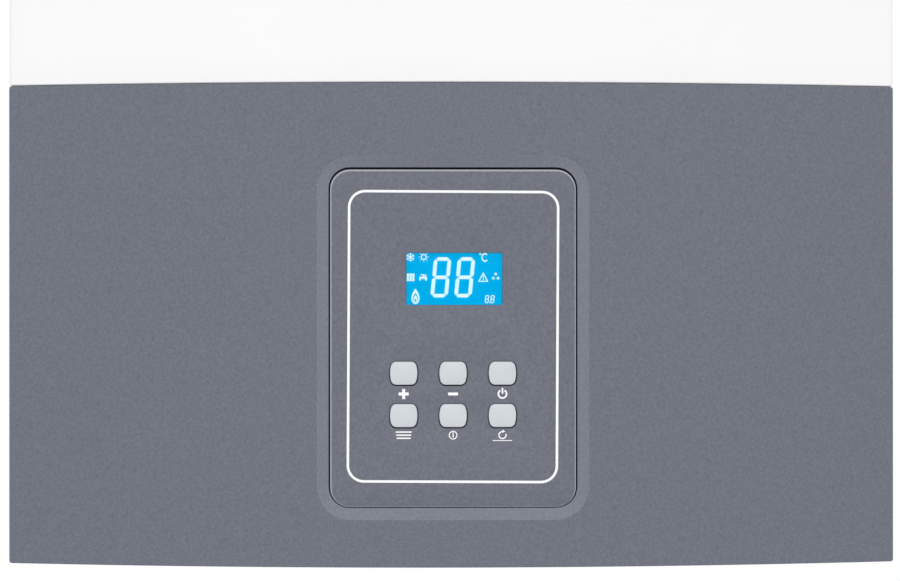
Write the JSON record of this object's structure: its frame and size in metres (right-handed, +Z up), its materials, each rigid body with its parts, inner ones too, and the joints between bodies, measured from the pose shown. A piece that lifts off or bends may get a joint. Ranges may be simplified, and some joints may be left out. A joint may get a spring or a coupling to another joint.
{
  "type": "wall-mounted gas boiler",
  "caption": "Wall-hung combination gas boiler: bowed white cover over a grey tilting fascia with a recessed pod of display and keys.",
  "frame": {"origin": "centre of the back face of the wall bracket, in the wall plane", "axes": "+Z up, +Y into the wall, so the front of the boiler looks along -Y; +X to the right as seen from the front"},
  "size_m": [0.41, 0.328, 0.7968],
  "materials": {
    "white_paint": "satin powder coat",
    "grey_moulding": "fine-grained moulding",
    "galvanised": "galvanised sheet",
    "key_rubber": "satin",
    "clear_window": "polished",
    "display_blue": "lit display",
    "foam": "cellular foam",
    "circuit_board": "solder resist",
    "black_plastic": "moulded",
    "grey_plastic": "moulded",
    "insulation": "pressed ceramic fibre board",
    "stainless": "stainless sheet",
    "copper": "copper, lightly oxidised",
    "brass": "machined brass",
    "cast_aluminium": "cast",
    "red_enamel": "gloss enamel",
    "blue_plastic": "moulded",
    "red_plastic": "moulded",
    "ceramic": "glazed ceramic",
    "sight_glass": "clear",
    "yellow_tube": "yellow passivated"
  },
  "bodies": {
    "chassis": {"wall_bracket": "galvanised", "rear_frame": "galvanised", "side_panel_left": "white_paint", "side_panel_right": "white_paint", "air_box_floor": "galvanised", "top_panel": "white_paint", "bottom_panel": "galvanised", "hinge_arm_left": "galvanised", "hinge_arm_right": "galvanised", "support_arm_left": "galvanised", "support_arm_right": "galvanised", "burner": "stainless", "gas_manifold": "cast_aluminium", "combustion_chamber": "insulation", "sight_glass": "sight_glass", "electrode_pair": "ceramic", "exchanger_jacket": "copper", "heat_exchanger": "copper", "flue_hood": "stainless", "fan_housing": "cast_aluminium", "fan_motor": "black_plastic", "air_pressure_switch": "black_plastic", "flue_inner_tube": "cast_aluminium", "flue_collar": "cast_aluminium", "expansion_vessel": "red_enamel", "plate_exchanger": "stainless", "flow_block": "brass", "diverter_actuator": "black_plastic", "pressure_sensor": "black_plastic", "return_block": "brass", "safety_valve": "brass", "pump_housing": "brass", "pump_motor": "black_plastic", "gas_inlet_pipe": "yellow_tube", "gas_valve": "cast_aluminium", "flow_pipe": "copper", "return_pipe": "copper", "vessel_pipe": "copper", "gas_burner_pipe": "yellow_tube"},
    "cover": {"front_cover": "white_paint", "cover_gasket": "foam"},
    "control_panel": {"lower_fascia": "grey_moulding", "control_pod": "grey_moulding", "display_window": "clear_window", "display_module": "display_blue", "key_mat": "black_plastic", "display_board": "circuit_board", "control_box": "grey_plastic", "control_box_lid": "grey_plastic", "control_board": "circuit_board"},
    "fan_rotor": {"fan_impeller": "cast_aluminium"},
    "filling_knob": {"filling_tap_knob": "blue_plastic"},
    "valve_knob": {"safety_valve_knob": "red_plastic"},
    "vent_cap": {"air_vent_cap": "black_plastic"},
    "key_plus": {"key_plus": "key_rubber"},
    "key_minus": {"key_minus": "key_rubber"},
    "key_power": {"key_power": "key_rubber"},
    "key_menu": {"key_menu": "key_rubber"},
    "key_info": {"key_info": "key_rubber"},
    "key_reset": {"key_reset": "key_rubber"}
  },
  "joints": [
    {"name": "cover_slide", "type": "slide", "parent": "chassis", "child": "cover", "axis": [0, -1, 0], "range_m": [0, 0.15]},
    {"name": "panel_tilt", "type": "hinge", "parent": "chassis", "child": "control_panel", "pos_m": [0, -0.312, -0.662], "axis": [1, 0, 0], "range_deg": [0, 75]},
    {"name": "key_plus_press", "type": "slide", "parent": "control_panel", "child": "key_plus", "axis": [0, 1, 0], "range_m": [0, 0.0008], "stiffness_N_per_m": 600},
    {"name": "key_minus_press", "type": "slide", "parent": "control_panel", "child": "key_minus", "axis": [0, 1, 0], "range_m": [0, 0.0008], "stiffness_N_per_m": 600},
    {"name": "key_power_press", "type": "slide", "parent": "control_panel", "child": "key_power", "axis": [0, 1, 0], "range_m": [0, 0.0008], "stiffness_N_per_m": 600},
    {"name": "key_menu_press", "type": "slide", "parent": "control_panel", "child": "key_menu", "axis": [0, 1, 0], "range_m": [0, 0.0008], "stiffness_N_per_m": 600},
    {"name": "key_info_press", "type": "slide", "parent": "control_panel", "child": "key_info", "axis": [0, 1, 0], "range_m": [0, 0.0008], "stiffness_N_per_m": 600},
    {"name": "key_reset_press", "type": "slide", "parent": "control_panel", "child": "key_reset", "axis": [0, 1, 0], "range_m": [0, 0.0008], "stiffness_N_per_m": 600},
    {"name": "fan_spin", "type": "hinge", "parent": "chassis", "child": "fan_rotor", "pos_m": [-0.043, -0.1868, -0.0287], "axis": [0, 1, 0], "continuous": true},
    {"name": "filling_knob_turn", "type": "hinge", "parent": "chassis", "child": "filling_knob", "pos_m": [0.098, -0.1183, -0.668], "axis": [0, 0, 1], "range_deg": [0, 270]},
    {"name": "valve_knob_turn", "type": "hinge", "parent": "chassis", "child": "valve_knob", "pos_m": [0.072, -0.145, -0.625], "axis": [0, 1, 0], "range_deg": [0, 90]},
    {"name": "vent_cap_turn", "type": "hinge", "parent": "chassis", "child": "vent_cap", "pos_m": [0.18, -0.096, -0.515], "axis": [0, 0, 1], "range_deg": [0, 180]}
  ]
}
